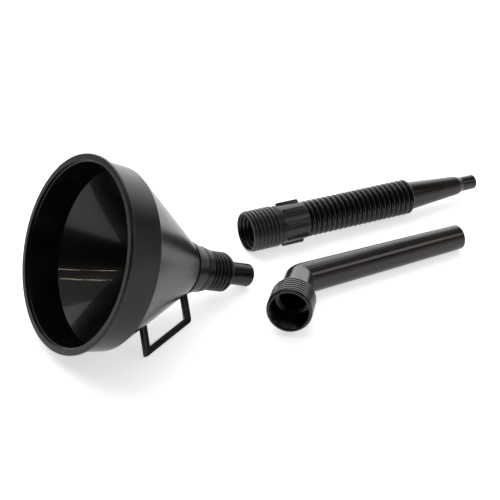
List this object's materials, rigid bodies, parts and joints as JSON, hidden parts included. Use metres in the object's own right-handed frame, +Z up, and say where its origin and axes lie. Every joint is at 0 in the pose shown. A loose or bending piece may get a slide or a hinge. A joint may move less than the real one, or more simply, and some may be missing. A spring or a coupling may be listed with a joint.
{
  "type": "funnel with screw-on spouts",
  "caption": "Wide pouring funnel with a grip loop, strainer and threaded neck, lying beside a flexible bellows spout and a bent rigid spout that screw onto the neck.",
  "frame": {"origin": "middle of the footprint of the whole set, on the floor that it lies on", "axes": "+X along the flexible spout from its socket to its nozzle; +Z up from the floor"},
  "size_m": [0.4816, 0.1744, 0.1538],
  "materials": {
    "bowl_plastic": "satin black moulded plastic",
    "neck_plastic": "satin black moulded plastic",
    "nut_plastic": "satin black moulded plastic",
    "hose_plastic": "semi-gloss black moulded plastic",
    "spout_plastic": "gloss black moulded plastic",
    "gauze": "fine woven wire"
  },
  "bodies": {
    "funnel": {"funnel_band": "bowl_plastic", "funnel_cone": "bowl_plastic", "funnel_outlet": "bowl_plastic", "threaded_neck": "neck_plastic", "handle": "bowl_plastic"},
    "strainer": {"strainer_ring": "neck_plastic", "strainer_gauze": "gauze"},
    "flexible_spout_base": {"hose_cuff": "hose_plastic"},
    "coupling_nut": {"coupling_nut": "nut_plastic"},
    "hose_segment_01": {"hose_ring_01": "hose_plastic"},
    "hose_segment_02": {"hose_ring_02": "hose_plastic"},
    "hose_segment_03": {"hose_ring_03": "hose_plastic"},
    "hose_segment_04": {"hose_ring_04": "hose_plastic"},
    "hose_segment_05": {"hose_ring_05": "hose_plastic"},
    "hose_segment_06": {"hose_ring_06": "hose_plastic"},
    "hose_segment_07": {"hose_ring_07": "hose_plastic"},
    "hose_segment_08": {"hose_ring_08": "hose_plastic"},
    "hose_segment_09": {"hose_ring_09": "hose_plastic"},
    "hose_segment_10": {"hose_ring_10": "hose_plastic"},
    "hose_segment_11": {"hose_ring_11": "hose_plastic"},
    "hose_segment_12": {"hose_ring_12": "hose_plastic"},
    "hose_segment_13": {"hose_ring_13": "hose_plastic"},
    "hose_segment_14": {"hose_ring_14": "hose_plastic"},
    "hose_segment_15": {"hose_ring_15": "hose_plastic"},
    "hose_segment_16": {"hose_ring_16": "hose_plastic"},
    "hose_segment_17": {"hose_ring_17": "hose_plastic"},
    "hose_segment_18": {"hose_ring_18": "hose_plastic"},
    "hose_segment_19": {"hose_ring_19": "hose_plastic"},
    "hose_segment_20": {"hose_ring_20": "hose_plastic"},
    "hose_segment_21": {"hose_ring_21": "hose_plastic", "nozzle": "spout_plastic"},
    "bent_spout": {"bent_spout_socket": "spout_plastic", "bent_spout_neck": "spout_plastic", "bent_spout_tube": "spout_plastic"}
  },
  "joints": [
    {"name": "strainer_pull", "type": "slide", "parent": "funnel", "child": "strainer", "axis": [-0.9099, -0.1053, 0.4011], "range_m": [0, 0.12]},
    {"name": "flexible_spout_lift", "type": "slide", "parent": "funnel", "child": "flexible_spout_base", "axis": [0, 0, 1], "range_m": [0, 0.15]},
    {"name": "bent_spout_lift", "type": "slide", "parent": "funnel", "child": "bent_spout", "axis": [0, 0, 1], "range_m": [0, 0.15]},
    {"name": "nut_swivel", "type": "hinge", "parent": "flexible_spout_base", "child": "coupling_nut", "pos_m": [0.02689, 0.06793, 0.0195], "axis": [0.9998, 0, -0.0183], "continuous": true},
    {"name": "hose_bend_01", "type": "hinge", "parent": "flexible_spout_base", "child": "hose_segment_01", "pos_m": [0.04318, 0.06793, 0.0192], "axis": [0, 0, 1], "range_deg": [-1.19, 4.28]},
    {"name": "hose_bend_02", "type": "hinge", "parent": "hose_segment_01", "child": "hose_segment_02", "pos_m": [0.04875, 0.06793, 0.0191], "axis": [0, 0, 1], "range_deg": [-1.19, 4.28]},
    {"name": "hose_bend_03", "type": "hinge", "parent": "hose_segment_02", "child": "hose_segment_03", "pos_m": [0.05432, 0.06793, 0.019], "axis": [0, 0, 1], "range_deg": [-1.19, 4.28]},
    {"name": "hose_bend_04", "type": "hinge", "parent": "hose_segment_03", "child": "hose_segment_04", "pos_m": [0.05989, 0.06793, 0.0189], "axis": [0, 0, 1], "range_deg": [-1.19, 4.28]},
    {"name": "hose_bend_05", "type": "hinge", "parent": "hose_segment_04", "child": "hose_segment_05", "pos_m": [0.06546, 0.06793, 0.01879], "axis": [0, 0, 1], "range_deg": [-1.19, 4.28]},
    {"name": "hose_bend_06", "type": "hinge", "parent": "hose_segment_05", "child": "hose_segment_06", "pos_m": [0.07103, 0.06793, 0.01869], "axis": [0, 0, 1], "range_deg": [-1.19, 4.28]},
    {"name": "hose_bend_07", "type": "hinge", "parent": "hose_segment_06", "child": "hose_segment_07", "pos_m": [0.0766, 0.06793, 0.01859], "axis": [0, 0, 1], "range_deg": [-1.19, 4.28]},
    {"name": "hose_bend_08", "type": "hinge", "parent": "hose_segment_07", "child": "hose_segment_08", "pos_m": [0.08217, 0.06793, 0.01849], "axis": [0, 0, 1], "range_deg": [-1.19, 4.28]},
    {"name": "hose_bend_09", "type": "hinge", "parent": "hose_segment_08", "child": "hose_segment_09", "pos_m": [0.08774, 0.06793, 0.01839], "axis": [0, 0, 1], "range_deg": [-1.19, 4.28]},
    {"name": "hose_bend_10", "type": "hinge", "parent": "hose_segment_09", "child": "hose_segment_10", "pos_m": [0.0933, 0.06793, 0.01829], "axis": [0, 0, 1], "range_deg": [-1.19, 4.28]},
    {"name": "hose_bend_11", "type": "hinge", "parent": "hose_segment_10", "child": "hose_segment_11", "pos_m": [0.09887, 0.06793, 0.01818], "axis": [0, 0, 1], "range_deg": [-1.19, 4.28]},
    {"name": "hose_bend_12", "type": "hinge", "parent": "hose_segment_11", "child": "hose_segment_12", "pos_m": [0.10444, 0.06793, 0.01808], "axis": [0, 0, 1], "range_deg": [-1.19, 4.28]},
    {"name": "hose_bend_13", "type": "hinge", "parent": "hose_segment_12", "child": "hose_segment_13", "pos_m": [0.11001, 0.06793, 0.01798], "axis": [0, 0, 1], "range_deg": [-1.19, 4.28]},
    {"name": "hose_bend_14", "type": "hinge", "parent": "hose_segment_13", "child": "hose_segment_14", "pos_m": [0.11558, 0.06793, 0.01788], "axis": [0, 0, 1], "range_deg": [-1.19, 4.28]},
    {"name": "hose_bend_15", "type": "hinge", "parent": "hose_segment_14", "child": "hose_segment_15", "pos_m": [0.12115, 0.06793, 0.01778], "axis": [0, 0, 1], "range_deg": [-1.19, 4.28]},
    {"name": "hose_bend_16", "type": "hinge", "parent": "hose_segment_15", "child": "hose_segment_16", "pos_m": [0.12672, 0.06793, 0.01768], "axis": [0, 0, 1], "range_deg": [-1.19, 4.28]},
    {"name": "hose_bend_17", "type": "hinge", "parent": "hose_segment_16", "child": "hose_segment_17", "pos_m": [0.13229, 0.06793, 0.01758], "axis": [0, 0, 1], "range_deg": [-1.19, 4.28]},
    {"name": "hose_bend_18", "type": "hinge", "parent": "hose_segment_17", "child": "hose_segment_18", "pos_m": [0.13786, 0.06793, 0.01747], "axis": [0, 0, 1], "range_deg": [-1.19, 4.28]},
    {"name": "hose_bend_19", "type": "hinge", "parent": "hose_segment_18", "child": "hose_segment_19", "pos_m": [0.14343, 0.06793, 0.01737], "axis": [0, 0, 1], "range_deg": [-1.19, 4.28]},
    {"name": "hose_bend_20", "type": "hinge", "parent": "hose_segment_19", "child": "hose_segment_20", "pos_m": [0.149, 0.06793, 0.01727], "axis": [0, 0, 1], "range_deg": [-1.19, 4.28]},
    {"name": "hose_bend_21", "type": "hinge", "parent": "hose_segment_20", "child": "hose_segment_21", "pos_m": [0.15457, 0.06793, 0.01717], "axis": [0, 0, 1], "range_deg": [-1.19, 4.28]}
  ]
}
